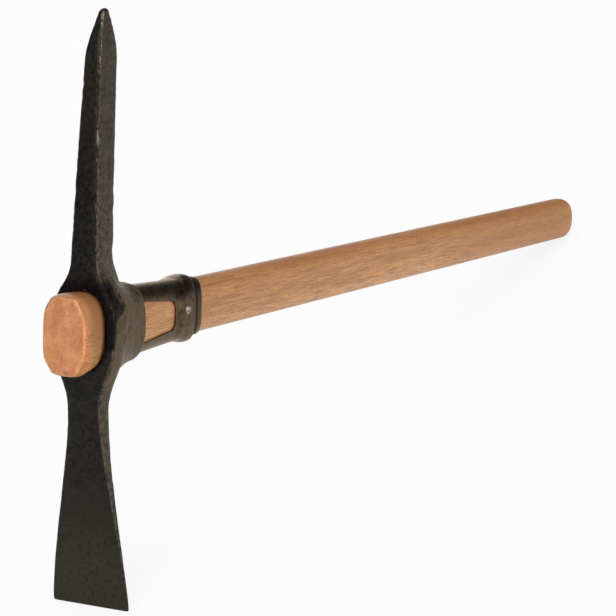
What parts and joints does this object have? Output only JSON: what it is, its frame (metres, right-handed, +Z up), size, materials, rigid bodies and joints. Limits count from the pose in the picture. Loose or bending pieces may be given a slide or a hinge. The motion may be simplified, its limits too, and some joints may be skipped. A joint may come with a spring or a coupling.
{
  "type": "pick axe",
  "caption": "Pick axe with a forged steel point and cross blade, a flared oval wooden handle held in the eye, and a steel guard sleeve screwed to the handle.",
  "frame": {"origin": "on the ground, under the middle of the tool as it stands on its blade edge and grip end", "axes": "+X along the handle's run towards the grip, +Y across the tool (the blade's width), +Z up"},
  "size_m": [0.905, 0.074, 0.4814],
  "materials": {
    "forged_steel": "black lacquer over forging scale, worn along the edges",
    "handle_wood": "waxed ash, satin",
    "guard_steel": "black lacquer on pressed sheet, satin",
    "screw_steel": "bare zinc-plated steel"
  },
  "bodies": {
    "root": {"pick_head": "forged_steel", "handle": "handle_wood", "handle_guard": "guard_steel", "left_guard_screw": "screw_steel", "right_guard_screw": "screw_steel"}
  },
  "joints": []
}
